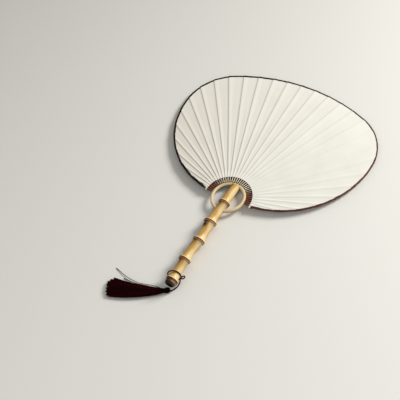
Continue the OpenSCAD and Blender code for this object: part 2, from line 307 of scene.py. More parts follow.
def tube(path, radius, sides, lobes=0, pitch=1.0, depth=0.0):
    """A round cord along a path in metres; lobes wind round it as twisted yarns do."""
    points = []
    travelled = 0.0
    for i, (p, (u, v)) in enumerate(zip(path, frames(path))):
        if i:
            travelled += (p - path[i - 1]).length
        for k in range(sides):
            a = 2 * math.pi * k / sides
            swell = 1 + depth * math.cos(lobes * (a - 2 * math.pi * travelled / pitch))
            points.append(p + (u * math.cos(a) + v * math.sin(a)) * radius * swell)
    return points, ring_faces(len(path), sides)


def join_meshes(parts):
    points = []
    faces = []
    for part_points, part_faces in parts:
        base = len(points)
        points.extend(part_points)
        faces.extend(tuple(i + base for i in face) for face in part_faces)
    return points, faces


# Camera, in metres: fitted to the photograph's blade, pleats, comb, hoop and handle
CAMERA_AT = (0.48511, -0.55235, 1.01574)
CAMERA_RIGHT = (0.83247, 0.52506, -0.17693)
CAMERA_UP = (-0.35785, 0.75330, 0.55179)
CAMERA_BACK = (0.42300, -0.39604, 0.81500)
LENS_MM = 72
SENSOR_MM = 36


def make_camera():
    data = bpy.data.cameras.new("camera")
    data.lens = LENS_MM
    data.sensor_width = SENSOR_MM
    camera = bpy.data.objects.new("camera", data)
    columns = [Vector(v).normalized() for v in (CAMERA_RIGHT, CAMERA_UP, CAMERA_BACK)]
    turn = Matrix(columns).transposed().to_4x4()
    camera.matrix_world = Matrix.Translation(CAMERA_AT) @ turn
    bpy.context.scene.collection.objects.link(camera)
    bpy.context.scene.camera = camera


# Material helpers
def new_material(name):
    material = bpy.data.materials.new(name)
    material.use_nodes = True
    return material.node_tree, material.node_tree.nodes["Principled BSDF"], material


def fill(tree, node, inputs):
    """Links the sockets among the inputs to the node and sets the plain values and colours on it."""
    for key, value in inputs.items():
        if isinstance(value, bpy.types.NodeSocket):
            tree.links.new(value, node.inputs[key])
        else:
            node.inputs[key].default_value = colour(value) if isinstance(value, str) else value
    return node


def add(tree, kind, inputs=None, **settings):
    node = tree.nodes.new("ShaderNode" + kind)
    for key, value in settings.items():
        setattr(node, key, value)
    return fill(tree, node, inputs or {})


def place_in(tree):
    return add(tree, "TexCoord").outputs["Object"]


def noise_in(tree, place, scale, detail=2.0, output="Fac"):
    return add(tree, "TexNoise", {"Vector": place, "Scale": scale, "Detail": detail}).outputs[output]


def stored(tree, name):
    """The numbers that a piece keeps under this name."""
    return add(tree, "Attribute", attribute_name=name).outputs["Fac"]


def facing_up(tree, normal="Normal"):
    """The height of a face's normal: 1 on top, -1 below."""
    return add(tree, "SeparateXYZ", {"Vector": add(tree, "NewGeometry").outputs[normal]}).outputs["Z"]


def maths(tree, operation, *values):
    return add(tree, "Math", dict(enumerate(values)), operation=operation).outputs[0]


def colour(hexadecimal):
    """A linear colour from its usual hexadecimal form."""
    parts = [int(hexadecimal[i:i + 2], 16) / 255 for i in (1, 3, 5)]
    return tuple(c / 12.92 if c <= 0.04045 else ((c + 0.055) / 1.055) ** 2.4 for c in parts) + (1,)


def mixed(tree, share, a, b, blend="MIX"):
    return add(tree, "Mix", {0: share, 6: a, 7: b}, data_type="RGBA", blend_type=blend).outputs[2]


def ranged(tree, value, low, high, to_low=0.0, to_high=1.0):
    node = add(tree, "MapRange", {
        "Value": value, "From Min": low, "From Max": high, "To Min": to_low, "To Max": to_high,
    })
    return node.outputs["Result"]


def bumped(tree, shader, height, strength, distance):
    bump = add(tree, "Bump", {"Height": height, "Strength": strength, "Distance": distance})
    fill(tree, shader, {"Normal": bump.outputs["Normal"]})


def group_node(tree, group, **inputs):
    node = tree.nodes.new("ShaderNodeGroup")
    node.node_tree = group
    return fill(tree, node, inputs)


def new_group(name, inputs, outputs):
    group = bpy.data.node_groups.new(name, "ShaderNodeTree")
    for label, kind in inputs:
        group.interface.new_socket(label, in_out="INPUT", socket_type=kind)
    for label, kind in outputs:
        group.interface.new_socket(label, in_out="OUTPUT", socket_type=kind)
    return group, group.nodes.new("NodeGroupInput"), group.nodes.new("NodeGroupOutput")


def bamboo_grain():
    """Masks for bamboo in a space whose X runs with the grain: fibres, broad patches, dark flecks."""
    group, start, end = new_group(
        "bamboo_grain", [("Vector", "NodeSocketVector")],
        [("Fibre", "NodeSocketFloat"), ("Patch", "NodeSocketFloat"), ("Fleck", "NodeSocketFloat")],
    )
    for label, scale, stretch, low, high in (
        ("Fibre", 900, (0.02, 1, 1), 0.35, 0.65),
        ("Patch", 110, (0.3, 1, 1), 0.3, 0.7),
        ("Fleck", 420, (0.12, 1, 1), 0.66, 0.76),
    ):
        stretched = add(group, "VectorMath", {0: start.outputs["Vector"], 1: stretch}, operation="MULTIPLY")
        noise = noise_in(group, stretched.outputs[0], scale, 4.0)
        group.links.new(ranged(group, noise, low, high), end.inputs[label])
    return group


def thread_twist():
    """Masks for twisted thread: the slanting yarns of a cord and a slow change of tone."""
    group, start, end = new_group(
        "thread_twist", [("Vector", "NodeSocketVector"), ("Scale", "NodeSocketFloat")],
        [("Yarn", "NodeSocketFloat"), ("Tone", "NodeSocketFloat")],
    )
    wave = add(group, "TexWave", {
        "Vector": start.outputs["Vector"], "Scale": start.outputs["Scale"], "Distortion": 2.0, "Detail": 2.0,
    }, bands_direction="DIAGONAL")
    group.links.new(wave.outputs["Fac"], end.inputs["Yarn"])
    noise = noise_in(group, start.outputs["Vector"], 260.0, 3.0)
    group.links.new(ranged(group, noise, 0.35, 0.65), end.inputs["Tone"])
    return group


GRAIN = bamboo_grain()
TWIST = thread_twist()


# Angles about the hoop between which the ribs turn red brown, on the right and on the left, the tape turns
# brown and the paper darkens with painted shade
BROWN_RIBS = ((0.95, 0.6), (2.3, 2.75))
BROWN_TAPE_ANGLES = (1.4, 0.7)
PAPER_SHADE_ANGLES = (1.2, 2.9)
# Distances from a rib's middle between which its cut edge turns from painted shade, dark as the gaps, to
# pale
RIB_PALE_CORE = (0.6, 0.45)
# The handle's marks, painted highlight and shade among them, from the lowest to the topmost: those under its
# flecks and those over them
UNDER_FLECKS = (("painted_highlight", "#f8e6b6"), ("painted_side_shade", "#7c5322"), ("ring", "#a8683a"), ("joint_shade", "#46240c"))
OVER_FLECKS = (("lip", "#f2dcae"), ("scar", "#430f04"), ("pith", "#1e0f08"))


def handle_material():
    tree, shader, material = new_material("bamboo_handle")
    along = add(tree, "Mapping", {"Vector": place_in(tree), "Rotation": (0, 0, -math.pi / 2)})
    grain = group_node(tree, GRAIN, Vector=along.outputs["Vector"])
    base = mixed(tree, grain.outputs["Fibre"], "#cfa04e", "#dfba68")
    tone = mixed(tree, ranged(tree, grain.outputs["Patch"], 0, 1, 0, 0.6), base, "#b87f34")
    for mark, shade in UNDER_FLECKS:
        tone = mixed(tree, stored(tree, mark), tone, shade)
    tone = mixed(tree, ranged(tree, grain.outputs["Fleck"], 0, 1, 0, 0.5), tone, "#6d3f18")
    for mark, shade in OVER_FLECKS:
        tone = mixed(tree, stored(tree, mark), tone, shade)
    fill(tree, shader, {
        "Base Color": tone, "Roughness": ranged(tree, grain.outputs["Patch"], 0, 1, 0.26, 0.42),
        "Specular IOR Level": 0.16, "Coat Weight": 0.22, "Coat Roughness": 0.14,
    })
    bumped(tree, shader, grain.outputs["Fibre"], 0.12, 0.0004)
    return material


def about_hoop(tree, place):
    """A place as its angle round the hoop's centre, its distance from there and its height."""
    centred = add(tree, "VectorMath", {0: place, 1: (0, -SHIFT_Y * MM, -LIFT * MM)}, operation="ADD")
    parts = add(tree, "SeparateXYZ", {"Vector": centred.outputs[0]})
    angle = maths(tree, "ARCTAN2", parts.outputs["Y"], parts.outputs["X"])
    out = add(tree, "VectorMath", {0: centred.outputs[0]}, operation="LENGTH").outputs["Value"]
    return angle, out, parts.outputs["Z"]


def hoop_material():
    """Pale bamboo with the grain round the hoop, with painted shade, darker brown, where it faces down and
    away from the light.
    """
    tree, shader, material = new_material("bamboo_hoop")
    angle, out, height = about_hoop(tree, place_in(tree))
    round_hoop = maths(tree, "MULTIPLY", angle, HOOP_R * MM)
    vector = add(tree, "CombineXYZ", {"X": round_hoop, "Y": out, "Z": height}).outputs[0]
    grain = group_node(tree, GRAIN, Vector=vector)
    base = mixed(tree, grain.outputs["Fibre"], "#dcc69c", "#eddfc2")
    warm = mixed(tree, ranged(tree, grain.outputs["Patch"], 0, 1, 0, 0.5), base, "#c8a46a")
    # Painted shade: darker brown where the hoop faces down
    underside_shade = mixed(tree, ranged(tree, facing_up(tree), 0.6, -0.1, 0, 0.8), warm, "#8a6a3c")
    flecked = mixed(tree, ranged(tree, grain.outputs["Fleck"], 0, 1, 0, 0.45), underside_shade, "#7c552c")
    fill(tree, shader, {"Base Color": flecked, "Roughness": 0.42, "Specular IOR Level": 0.3})
    bumped(tree, shader, grain.outputs["Fibre"], 0.15, 0.0004)
    return material


def off_rib_middle(tree, angle, out):
    """How far a point stands aside of its rib's middle."""
    turns = maths(tree, "SUBTRACT", angle, math.radians(FIRST_RIB - RIB_STEP / 2))
    turn = maths(tree, "MODULO", turns, math.radians(RIB_STEP))
    offset = maths(tree, "SUBTRACT", turn, math.radians(RIB_STEP / 2))
    return maths(tree, "ABSOLUTE", maths(tree, "MULTIPLY", offset, out))


def rib_material():
    """Split bamboo: pale along the middle of the cut edges, red brown in the outer ribs, and nearly black on
    the broad sides and beside the gaps: painted shade.
    """
    tree, shader, material = new_material("bamboo_ribs")
    place = place_in(tree)
    noise = noise_in(tree, place, 180.0, 4.0)
    edge = ranged(tree, maths(tree, "ABSOLUTE", facing_up(tree, "True Normal")), 0.6, 0.9)
    angle, out, _ = about_hoop(tree, place)
    outer = maths(tree, "MAXIMUM", *(ranged(tree, angle, *span) for span in BROWN_RIBS))
    pale_core = ranged(tree, off_rib_middle(tree, angle, out), *(aside * MM for aside in RIB_PALE_CORE))
    share = ranged(tree, noise, 0.35, 0.65)
    pale = mixed(tree, share, "#e6d3ae", "#fff4dc")
    brown = mixed(tree, share, "#4a2114", "#8f553c")
    # Painted shade: the top darkens towards the gaps on each side
    top_with_gap_shade = mixed(tree, pale_core, "#241008", pale)
    top = mixed(tree, outer, top_with_gap_shade, brown)
    # Painted shade: the broad sides nearly black, as the gaps between the ribs look
    dark = mixed(tree, ranged(tree, noise, 0.3, 0.7), "#080302", "#1a0a06")
    side = mixed(tree, outer, dark, brown)
    fill(tree, shader, {"Base Color": mixed(tree, edge, side, top), "Roughness": 0.6})
    bumped(tree, shader, noise, 0.3, 0.0003)
    return material


def wire_material():
    tree, shader, material = new_material("binding_wire")
    noise = noise_in(tree, place_in(tree), 900.0)
    worn = mixed(tree, ranged(tree, noise, 0.4, 0.6), "#7d6234", "#a58a55")
    fill(tree, shader, {"Base Color": worn, "Metallic": 0.9, "Roughness": 0.4})
    return material


def paper_material():
    """Handmade paper: felted fibres, faint clouding, a matt face and painted shade, darker towards the left.
    """
    tree, shader, material = new_material("paper")
    place = place_in(tree)
    cloud = noise_in(tree, place, 28.0, 3.0)
    swayed = mixed(tree, 0.02, place, noise_in(tree, place, 160.0, output="Color"), "ADD")
    fibre = noise_in(tree, swayed, 1400.0, 3.0)
    base = mixed(tree, ranged(tree, cloud, 0.3, 0.7), "#e8e6dc", "#eeece3")
    angle, _, _ = about_hoop(tree, place)
    # Painted shade: the paper darkens towards the left, farther from the lamp
    shaded_left = mixed(tree, ranged(tree, angle, *PAPER_SHADE_ANGLES, 0, 0.75), base, "#dbd5c8")
    specked = mixed(tree, ranged(tree, fibre, 0.62, 0.75, 0, 0.35), shaded_left, "#dad3c0")
    fill(tree, shader, {"Base Color": specked, "Roughness": 0.85, "Specular IOR Level": 0.25})
    bumped(tree, shader, fibre, 0.18, 0.0002)
    return material


def tape_material():
    """Nearly black tape, turning brown towards the right."""
    tree, shader, material = new_material("edging_tape")
    place = place_in(tree)
    noise = noise_in(tree, place, 240.0, 4.0)
    angle, _, _ = about_hoop(tree, place)
    dark = mixed(tree, ranged(tree, noise, 0.35, 0.65), "#0d0806", "#281a14")
    base = mixed(tree, ranged(tree, angle, *BROWN_TAPE_ANGLES), dark, "#5f3b35")
    fill(tree, shader, {"Base Color": base, "Roughness": 0.7, "Specular IOR Level": 0.2})
    bumped(tree, shader, noise, 0.3, 0.0002)
    return material


def thread_material(name, dark, light, fresh, scale):
    """Silky thread; single threads that keep a tone of their own run towards the fresh colour."""
    tree, shader, material = new_material(name)
    twist = group_node(tree, TWIST, Vector=place_in(tree), Scale=scale)
    clouded = mixed(tree, twist.outputs["Tone"], dark, light)
    toned = mixed(tree, ranged(tree, stored(tree, "tone"), 0.4, 1, 0, 0.8), clouded, fresh)
    base = mixed(tree, ranged(tree, twist.outputs["Yarn"], 0.2, 0.8, 0, 0.4), toned, dark)
    fill(tree, shader, {
        "Base Color": base, "Roughness": 0.5, "Specular IOR Level": 0.12, "Specular Tint": "#d0606a",
    })
    bumped(tree, shader, twist.outputs["Yarn"], 0.25, 0.0002)
    return material


# Cords: the crowns of the yarns stand a little proud
YARN_SWELL = 1.12
YARN_PITCH = 5.2
YARN_DEPTH = 0.07
LOOP_STEPS = 30
KNOT_TURN = (KNOT_D / 2) / LOOP_R
KNOT_STEPS = 60
# A knot's cord as a share of the knot's radius
KNOT_CORD_SHARE = 0.36


def loop_place(angle):
    """A point of the loop as the part's source turns it, before the handle's tail is turned aside."""
    x, y = LOOP_R * math.cos(angle), LOOP_R * math.sin(angle)
    y, z = y * math.sin(LOOP_LEAN), y * math.cos(LOOP_LEAN)
    c, s = math.cos(LOOP_TILT), math.sin(LOOP_TILT)
    return (LOOP_AT[0] + x * c - y * s, LOOP_AT[1] + x * s + y * c, LOOP_AT[2] + z)


def on_loop(angle):
    return lay(tail(loop_place(angle)))


def yarn_tube(path, sides):
    radius = CORD_D / 2 * MM * YARN_SWELL
    return tube(path, radius, sides=sides, lobes=3, pitch=YARN_PITCH * MM, depth=YARN_DEPTH)


def cord_path():
    """Round the handle from the knot and back into it, then down to the tassel."""
    points = []
    for i in range(LOOP_STEPS + 1):
        points.append(on_loop(KNOT_ANGLE - mix(KNOT_TURN, 2 * math.pi - KNOT_TURN, i / LOOP_STEPS)))
    return points + [on_loop(KNOT_ANGLE)] + [at_end(p) for p in HANGER_ROUTE]


def make_hanging_cord(material):
    path = spline(cord_path(), 3)
    stood_for = ("cord_loop", "hanger_cord")
    return new_object("hanging_cord", yarn_tube(path, 15), "cord", stood_for, material), path


def knot_mesh(centre, reach):
    """A cord wound through itself, filling the space of a knot of that radius in metres."""
    thick = reach * KNOT_CORD_SHARE
    size = (reach - thick) / 3
    path = []
    for i in range(KNOT_STEPS + 1):
        t = 2 * math.pi * i / KNOT_STEPS
        path.append(centre + size * Vector((
            math.sin(t) + 2 * math.sin(2 * t),
            math.cos(t) - 2 * math.cos(2 * t),
            -1.6 * math.sin(3 * t),
        )))
    return tube(path, thick, sides=10)


def make_cord_knot(material):
    shape = knot_mesh(on_loop(KNOT_ANGLE), KNOT_D / 2 * MM)
    return new_object("loop_knot", shape, "cord", ("cord_knot",), material)


def make_bow(material):
    """The small eye that sticks out of the knot."""
    c, s = math.cos(BOW_HEADING), math.sin(BOW_HEADING)
    x, y, z = loop_place(KNOT_ANGLE)
    route = []
    for out, across, up in BOW_ROUTE:
        route.append(lay(tail((x + out * c - across * s, y + out * s + across * c, z + up))))
    return new_object("knot_bow", yarn_tube(spline(route, 5), 12), "cord", ("cord_bow",), material)


def make_swivel(material):
    centre = at_end((SWIVEL_XY[0], SWIVEL_XY[1], HEAD_AXIS_Z))
    shape = knot_mesh(centre, SWIVEL_D / 2 * MM)
    return new_object("tassel_knot", shape, "swivel", ("swivel_knot",), material)


# Tassel
HEAD_PROFILE = [(0, 0.34), (0.1, 0.7), (0.24, 0.93), (0.38, 1), (0.6, 1), (0.84, 0.86), (1, 0.78)]
CORE_SHARE = 0.9
CORE_RINGS = 14
CORE_SIDES = 24
HEAD_THREADS = 46
HEAD_THREAD_R = 0.42
# How far the head's threads are off their even places, in shares of their gap, and swing, in radians
HEAD_UNEVEN = 0.2
HEAD_SWING = 0.12
WINDING_R = 0.26
WINDING_TURNS = 5
WINDING_STEPS = 30
# Points along each thread of the head and the skirt, less one
THREAD_STEPS = 12
# The neck's width and height, as shares of the head's
NECK_SHARES = (0.8, 0.86)
SKIRT_NECK_SHARES = (0.87, 0.86)
STRANDS = 620
THREAD_R = 0.27
# How much of the solid's width and thickness the threads fill
SKIRT_FILL = (0.94, 0.9)
# As shares of the skirt's length: how unevenly its threads end, how much a few are cut short, how far whole
# locks differ, and what is cut off one corner
END_UNEVEN = 0.014
CUT_SHORT = 0.1
LOCK_UNEVEN = 0.02
CUT_CORNER = 0.09
# Where that corner starts, as a share of half the width
CORNER_START = 0.35
# The share of threads cut short, the locks on each side of the middle one, and how far those draw threads in
SHORT_SHARE = 0.05
LOCKS = 7
LOCK_PULL = 0.35
# How far a thread sways aside by its end, at least and at most, and up
SWAY_ASIDE = (0.1, 0.5)
SWAY_UP = 0.2


def head_share(t):
    for (a, p), (b, q) in zip(HEAD_PROFILE, HEAD_PROFILE[1:]):
        if t <= b:
            return mix(p, q, smoothstep((t - a) / (b - a)))
    return HEAD_PROFILE[-1][1]


def head_point(t, a, share, inset=0):
    """A point of the head: t along it, a round it, at a share of its full size less an inset."""
    return along_tassel((
        HEAD_START + HEAD_LEN * t,
        (HEAD_W / 2 * share - inset) * math.cos(a),
        HEAD_AXIS_Z + (HEAD_T / 2 * share - inset) * math.sin(a),
    ))


def make_head(material):
    """Threads folded over the hanging cord, laid side by side round a core."""
    core = []
    for j in range(CORE_RINGS):
        t = j / (CORE_RINGS - 1)
        share = head_share(t) * CORE_SHARE
        for k in range(CORE_SIDES):
            core.append(head_point(t, 2 * math.pi * k / CORE_SIDES, share))
    parts = [(core, ring_faces(CORE_RINGS, CORE_SIDES))]
    for i in range(HEAD_THREADS):
        b = 2 * math.pi * (i + random.uniform(-HEAD_UNEVEN, HEAD_UNEVEN)) / HEAD_THREADS
        swing = random.uniform(-HEAD_SWING, HEAD_SWING)
        path = []
        for j in range(THREAD_STEPS + 1):
            t = j / THREAD_STEPS
            a = b + swing * math.sin(math.pi * t)
            path.append(head_point(t, a, head_share(t), HEAD_THREAD_R))
        parts.append(tube(path, HEAD_THREAD_R * MM, sides=6))
    shape = join_meshes(parts)
    return new_object("tassel_top", shape, "tassel", ("tassel_head",), material, sharp=80)


def make_binding(material):
    """Thread wound tightly round the tassel's neck."""
    start = HEAD_START + HEAD_LEN + PASTE_GAP
    width, height = NECK_SHARES[0] * HEAD_W / 2, NECK_SHARES[1] * HEAD_T / 2
    steps = WINDING_TURNS * WINDING_STEPS
    path = []
    for i in range(steps + 1):
        a = 2 * math.pi * i / WINDING_STEPS
        path.append(along_tassel((
            start + WINDING_R + (BINDING_LEN - 2 * WINDING_R) * i / steps,
            (width - WINDING_R) * math.cos(a),
            HEAD_AXIS_Z + (height - WINDING_R) * math.sin(a),
        )))
    shape = tube(path, WINDING_R * MM, sides=6)
    return new_object("neck_winding", shape, "tassel", ("tassel_binding",), material, sharp=80)


def skirt_place(t, b, up):
    """A place in the skirt: t along it from 0, b across it and up through it, both from -1 to 1."""
    radius = SKIRT_LEN / SKIRT_BEND
    width = mix(SKIRT_NECK_SHARES[0] * HEAD_W, SKIRT_W, t ** 0.8)
    height = mix(SKIRT_NECK_SHARES[1] * HEAD_T, SKIRT_T, t) + SKIRT_CROWN * math.sin(math.pi * min(1, t))
    z = max(FLOOR_GAP + height / 2, mix(HEAD_AXIS_Z, FLOOR_GAP, 4 * t))
    a = -SKIRT_BEND * t
    x = SKIRT_START + radius * math.sin(SKIRT_BEND * t)
    y = -radius * (1 - math.cos(SKIRT_BEND * t))
    aside = b * width / 2
    ahead = t * (SKIRT_BULGE * (1 - b * b) + SKIRT_SKEW * b)
    return (
        x - aside * math.sin(a) + ahead * math.cos(a),
        y + aside * math.cos(a) + ahead * math.sin(a),
        z + up * height / 2,
    )


def make_skirt(material):
    """Loose threads that leave the neck together, part into locks and end in a ragged cut."""
    parts = []
    tones = []
    for _ in range(STRANDS):
        b = random.uniform(-1, 1)
        up = random.uniform(-1, 1) * math.sqrt(1 - b * b)
        end = 1 + random.gauss(0, END_UNEVEN)
        if random.random() < SHORT_SHARE:
            end -= CUT_SHORT * random.random()
        lock = round(b * LOCKS) / LOCKS
        corner = CUT_CORNER * smoothstep((-b - CORNER_START) / (1 - CORNER_START))
        end += LOCK_UNEVEN * math.sin(23 * lock) - corner
        pull = random.uniform(0, LOCK_PULL)
        phase = random.uniform(0, 2 * math.pi)
        sway = random.uniform(*SWAY_ASIDE)
        path = []
        for j in range(THREAD_STEPS + 1):
            t = end * j / THREAD_STEPS
            x, y, z = skirt_place(t, mix(b, lock, pull * t) * SKIRT_FILL[0], up * SKIRT_FILL[1])
            y += sway * t * math.sin(phase + 5 * t)
            z += SWAY_UP * math.sin(2 * phase + 7 * t) * t
            path.append(along_tassel((x, y, max(z, FLOOR_GAP + THREAD_R))))
        points, faces = tube(path, THREAD_R * MM, sides=4)
        tones.extend([random.random()] * len(points))
        parts.append((points, faces))
    shape = join_meshes(parts)
    obj = new_object("tassel_threads", shape, "tassel", ("tassel_skirt",), material, sharp=80)
    add_values(obj, "tone", tones)
    return obj


def make_stray(name, node, route, material):
    """A thread that has left the skirt."""
    path = [along_tassel(p) for p in spline(route, 5)]
    shape = tube(path, STRAY_R * MM, sides=6, lobes=2, pitch=STRAY_PITCH * MM, depth=0.1)
    return new_object(name, shape, "tassel", (node,), material, sharp=80)


# Blade
CREST_SHARES = (1, 0.8, 0.6, 0.4, 0.2, 0)
PANEL_SHARES = (0.25, 0.5, 0.75)
LEAF_ROWS = 34
# The pleats' depth at the comb and at the rim, as a share of the ribs' own
RELIEF = (0.33, 0.52)
# A ridge's reach on its left, and on its right at the comb and at the rim, in shares of the solid's slope
STEEP_SHARE = 0.35
GENTLE_SHARES = (1.4, 3.8)
COCKLE = 0.16
# How far the paper drops at once at the edges of a crest
CREST_ROUND = 0.06
TAPE_T = 0.16
TAPE_CLEAR = 0.02
TAPE_WIDER = 0.65
TAPE_NARROWER = 0.4
# The tape never reaches further over the paper than this share of the paper's length
TAPE_MOST = 0.6


def fold_end(a, aside, r, z):
    b = a + math.atan2(aside, r)
    return (r * math.cos(b), r * math.sin(b), z)


def rib_angle(i):
    return math.radians(FIRST_RIB + RIB_STEP * i)


def ridge_width(r, side):
    """How far a ridge reaches aside: it drops sharply on its left and runs out slowly on its right."""
    share = STEEP_SHARE if side > 0 else mix(*GENTLE_SHARES, taper(r))
    return mix(crest_side(r), slope_side(r), share)


def ridge_height(r, share):
    """Rounded over the rib and easing out into the panel."""
    high = crest_z(r)
    foot = mix(high, panel_z(r), mix(*RELIEF, taper(r)))
    return mix(high - CREST_ROUND * (share > 0), foot, smoothstep(share))


def ridge_line(i, side, share):
    """The paper's line beside rib i: from the crest's edge at share 0 to the slope's foot at share 1."""
    a = rib_angle(i)
    rim = rim_reach(a)
    ends = []
    for r in (PAPER_START_R, rim):
        aside = side * mix(crest_side(r), ridge_width(r, side), share)
        reach = r if r == PAPER_START_R else rim_reach(a + math.atan2(aside, rim))
        ends.append(fold_end(a, aside, reach, ridge_height(r, share)))
    return ends


def between(first, second, share):
    """A line of the panel between two ridges, carried out to the rim's curve."""
    inner, (x, y, z) = ([mix(p[n], q[n], share) for n in range(3)] for p, q in zip(first, second))
    grow = rim_reach(math.atan2(y, x)) / math.hypot(x, y)
    return [inner, [x * grow, y * grow, z]]


def corner_line(side):
    """The half pleat below an end rib ends in this line, at the lower corner."""
    x = math.sqrt(PAPER_START_R ** 2 - CORNER_DROP ** 2)
    return [(side * x, -CORNER_DROP, VALLEY_Z), (side * (x + CORNER_LEN), -CORNER_DROP, VALLEY_Z)]


def leaf_lines():
    """Each line is its inner and outer end, and how far the paper may cockle along it."""
    lines = [(corner_line(1), 0)]
    for i in range(RIBS):
        if i:
            before, after = lines[-1][0], ridge_line(i, -1, 1)
            for share in PANEL_SHARES:
                lines.append((between(before, after, share), math.sin(math.pi * share)))
        for share in CREST_SHARES:
            lines.append((ridge_line(i, -1, share), 0))
        for share in reversed(CREST_SHARES):
            lines.append((ridge_line(i, 1, share), 0))
    return lines + [(corner_line(-1), 0)]


LINES = leaf_lines()


def cockle(column, t):
    """A slow unevenness of the stretched paper, different in each panel."""
    panel = column // (2 * len(CREST_SHARES) + len(PANEL_SHARES))
    wave = math.sin(9 * t + 2.3 * panel) + 0.6 * math.sin(17 * t + 4.1 * panel)
    return COCKLE * math.sin(math.pi * t) * wave


def leaf_point(column, t):
    (start, end), loose = LINES[column]
    p = [mix(start[n], end[n], t) for n in range(3)]
    p[2] += loose * cockle(column, t)
    return p


def make_leaf(name, node, facing, material):
    """One leaf of paper, pasted over the ribs; the back one faces down."""
    points = []
    columns = len(LINES)
    for height in (LEAF_T, 0):
        for j in range(LEAF_ROWS):
            for i in range(columns):
                x, y, z = leaf_point(i, j / (LEAF_ROWS - 1))
                points.append(lay((x, y, facing * (z + height))))
    below = LEAF_ROWS * columns
    up = facing > 0
    faces = grid_faces(LEAF_ROWS, columns, flip=up) + grid_faces(LEAF_ROWS, columns, below, flip=not up)
    border = list(range(columns))
    border += [j * columns + columns - 1 for j in range(1, LEAF_ROWS)]
    border += [(LEAF_ROWS - 1) * columns + i for i in range(columns - 2, -1, -1)]
    border += [j * columns for j in range(LEAF_ROWS - 2, 0, -1)]
    for a, b in zip(border, border[1:] + border[:1]):
        face = (a, b, b + below, a + below)
        faces.append(face if up else face[::-1])
    return new_object(name, (points, faces), "fan", (node,), material, sharp=60)


def tape_width(i, x, y):
    """The tape runs a little unevenly, wider on the left of the blade and narrower on the lower right."""
    angle = math.atan2(y, x)
    wander = 1 + 0.1 * math.sin(0.31 * i) + 0.07 * math.sin(1.7 * i)
    wander += TAPE_WIDER * smoothstep((angle - 1.2) / 0.8) - TAPE_NARROWER * smoothstep((0.6 - angle) / 0.4)
    return EDGING_W * wander


def rim_end(i):
    """Where column i of the paper meets the rim, the direction out to there and the column's length."""
    (start, end), _ = LINES[i]
    out = Vector((end[0] - start[0], end[1] - start[1])).normalized()
    return end, out, math.hypot(end[0] - start[0], end[1] - start[1])


def tape_points(i, places):
    """Points over column i, each so far back from the rim and so far above the paper's underside."""
    end, out, length = rim_end(i)
    return [
        (end[0] - out.x * back, end[1] - out.y * back, leaf_point(i, min(1, 1 - back / length))[2] + height)
        for back, height in places
    ]


def make_edging(material):
    """One tape folded over the rim, pressed down over each ridge."""
    points = []
    columns = len(LINES)
    low = LEAF_T + TAPE_CLEAR
    high = low + TAPE_T
    for i in range(columns):
        before = LINES[max(i - 1, 0)][0][1]
        after = LINES[min(i + 1, columns - 1)][0][1]
        rim = Vector((after[0] - before[0], after[1] - before[1])).normalized()
        end, out, length = rim_end(i)
        inset = min(tape_width(i, end[0], end[1]) / abs(out.cross(rim)), TAPE_MOST * length)
        # The section, from the edge that lies on the paper over the top and round past the rim
        outer = tape_points(i, [
            (inset, low + 0.02), (inset, high - 0.04), (inset * 0.5, high), (0.1, high), (-0.2, high - 0.08),
        ])
        inner = tape_points(i, [(inset * 0.9, low), (-0.06, low)])
        loop = outer + [(x, y, -z) for x, y, z in reversed(outer)]
        loop += [(x, y, -z) for x, y, z in inner] + inner[::-1]
        points.extend(lay(p) for p in loop)
    faces = ring_faces(columns, len(points) // columns)
    return new_object("rim_tape", (points, faces), "fan", ("rim_edging",), material, sharp=70)


# Handle: a bamboo root with low joints, each a lip with a scar below it
HANDLE_SIDES = 72
DRIFT = [
    (TOP_LEN, 0), (-20, 0), (-34, -0.3), (-44, -0.8), (-52, 0), (-62, 0.6), (-74, 1.0), (-88, 1.2),
    (-100, 0.3), (-112, 0.1), (-124, 0.3), (-140, 0.6), (-152, 0.3), (-161.5, 0), (END_Y, 0),
]
# Measured up from a joint's middle: the dark groove in its crest and the foot of the ring below the groove
GROOVE_AT = -0.6
GROOVE_W = 0.8
GROOVE_DEEP = 0.8
RING_END = -3.0
# The handle is this much thicker at a ring's foot and thins out from there down
RING_FOOT = 0.5
RING_FADE = 4
RING_FADE_END = -14
# Where each crest stands out most, in degrees round the handle, and by how much
CREST_BULGES = [(160, 0.3), (150, 1.3), (165, 0.6), (155, 1.1), (160, 0.3)]
# How far each crest has grown along the handle from its even place, and its slant
CREST_SHIFTS = (0, -2, 0, 0, 0)
CREST_SLANTS = (0.03, 0.12, 0.03, 0.03, 0)
CREST_SPAN = 2.6
# Each crest also stands out a little on its right
LIT_BULGE = 0.4
LIT_BULGE_ANGLE = -0.5
# The lowest joint flares more gently than the others
LAST_FLARE_LEN = 4.5
# The upper end stops just short of the ribs' feet and is cut away slanting on its front
NOSE_TIP = 28.1
NOSE_FROM = 22
NOSE_ROUND = 1
# Radius and depth of the rings across the cut end
END_RINGS = [(END_D / 2 - 0.1, 0), (END_D / 2 - 1.1, 0.1), (END_D / 2 - 1.7, 0.25), (2.4, 0.35), (0.8, 0.5)]
RIM_PITH = 0.2
# A dark bud eye below the second joint: its place, half length, and half width in radians
EYE_Y = -60.5
EYE_ANGLE = math.radians(118)
EYE_LEN = 3.6
EYE_SPREAD = 0.42
# The low bulge beside the eye, whose middle is this far above it
EYE_BULGE = 1.7
BULGE_UP = 2
BULGE_LEN = 6
BULGE_ANGLE = 2.6
# Round the handle: the side in the light, away from which the painted shade on the stains and the skin
# deepens, and the middle of the painted highlight's pale patches
LIT_ANGLE = 0.35
HIGHLIGHT_ANGLE = 0.65
# Strength of the stain below a ring, deepened on the side away from the light by painted shade, the length
# it fades over, and the strength of the painted shade at the upper end
RING_STAIN_AND_SHADE = 1.15
STAIN_AND_SHADE_FADE = 8
NOSE_PAINTED_SHADE = 0.55
# The length above the cut end that turns dark all round
DARK_END_LEN = 4.5
